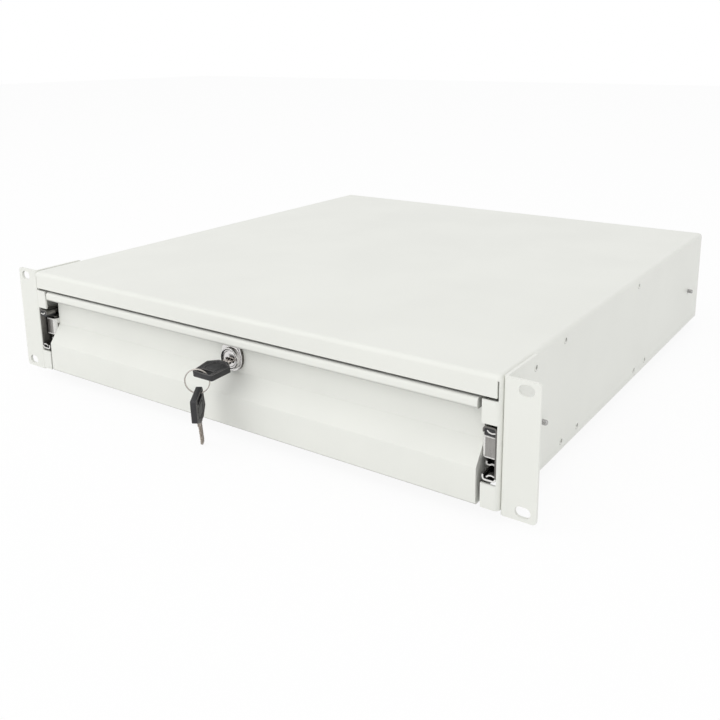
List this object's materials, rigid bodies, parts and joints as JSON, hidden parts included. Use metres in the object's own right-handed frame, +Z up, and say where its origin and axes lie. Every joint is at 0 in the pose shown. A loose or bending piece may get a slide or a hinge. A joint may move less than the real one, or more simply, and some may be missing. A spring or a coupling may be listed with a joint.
{
  "type": "sliding rack drawer",
  "caption": "Lockable sliding drawer for a 19 inch equipment rack: bent steel housing with rack ears, ball bearing slides, open tray, recessed pull front and a cam lock with keys.",
  "frame": {"origin": "middle of the four rack holes, on the front face of the rack ears", "axes": "+X to the right seen from the front, +Y into the rack, +Z up"},
  "size_m": [0.4826, 0.4955, 0.0942],
  "materials": {
    "powder_coat": "light grey powder coat, satin, fine orange peel",
    "zinc_steel": "bright zinc plated steel",
    "nickel_plate": "polished nickel plate",
    "key_steel": "nickel plated steel",
    "black_plastic": "black moulded plastic, fine grain"
  },
  "bodies": {
    "housing": {"housing_cover": "powder_coat", "lock_strike": "powder_coat", "rack_ear_left": "powder_coat", "rack_ear_right": "powder_coat", "bottom_brace_front": "powder_coat", "bottom_brace_back": "powder_coat", "top_stiffener_front": "powder_coat", "top_stiffener_back": "powder_coat", "ear_rivets": "powder_coat", "panel_rivets": "powder_coat", "slide_outer_left": "zinc_steel", "slide_outer_right": "zinc_steel", "slide_end_stop_left": "black_plastic", "slide_end_stop_right": "black_plastic", "slide_spacers": "zinc_steel", "outer_slide_screws": "zinc_steel"},
    "drawer": {"drawer_tray": "powder_coat", "drawer_front": "powder_coat", "drawer_front_screws": "zinc_steel", "slide_inner_left": "zinc_steel", "slide_inner_right": "zinc_steel", "inner_slide_screws": "zinc_steel", "lock_body": "nickel_plate", "lock_nut": "zinc_steel"},
    "middle_member_left": {"slide_middle_left": "zinc_steel"},
    "middle_member_right": {"slide_middle_right": "zinc_steel"},
    "outer_cages": {"outer_ball_cages": "zinc_steel"},
    "inner_cages": {"inner_ball_cages": "zinc_steel"},
    "lock_cylinder": {"lock_plug": "nickel_plate", "lock_cam": "zinc_steel", "cam_screw": "zinc_steel", "key_blade": "key_steel", "key_head": "black_plastic"},
    "ring": {"key_ring": "key_steel"},
    "spare_key": {"spare_key_head": "black_plastic", "spare_key_blade": "key_steel"}
  },
  "joints": [
    {"name": "drawer_slide", "type": "slide", "parent": "housing", "child": "drawer", "axis": [0, -1, 0], "range_m": [0, 0.4]},
    {"name": "middle_slide_left", "type": "slide", "parent": "housing", "child": "middle_member_left", "axis": [0, -1, 0], "range_m": [0, 0.2]},
    {"name": "middle_slide_right", "type": "slide", "parent": "housing", "child": "middle_member_right", "axis": [0, -1, 0], "range_m": [0, 0.2]},
    {"name": "outer_cage_roll", "type": "slide", "parent": "housing", "child": "outer_cages", "axis": [0, -1, 0], "range_m": [0, 0.1]},
    {"name": "inner_cage_roll", "type": "slide", "parent": "housing", "child": "inner_cages", "axis": [0, -1, 0], "range_m": [0, 0.3]},
    {"name": "lock_turn", "type": "hinge", "parent": "drawer", "child": "lock_cylinder", "pos_m": [0, 0, 0.0087], "axis": [0, 1, 0], "range_deg": [0, 90]},
    {"name": "ring_swing", "type": "hinge", "parent": "lock_cylinder", "child": "ring", "pos_m": [-0.0018, -0.02424, 0.00918], "axis": [1, 0, 0], "range_deg": [-2, 8]},
    {"name": "spare_key_swing", "type": "hinge", "parent": "ring", "child": "spare_key", "pos_m": [-0.00405, -0.02554, -0.00862], "axis": [0.8572, 0.515, 0], "range_deg": [-20, 12]}
  ],
  "couplings": [
    {"joint": "middle_slide_left", "follows": "drawer_slide", "ratio": 0.5},
    {"joint": "middle_slide_right", "follows": "drawer_slide", "ratio": 0.5},
    {"joint": "outer_cage_roll", "follows": "drawer_slide", "ratio": 0.25},
    {"joint": "inner_cage_roll", "follows": "drawer_slide", "ratio": 0.75}
  ]
}
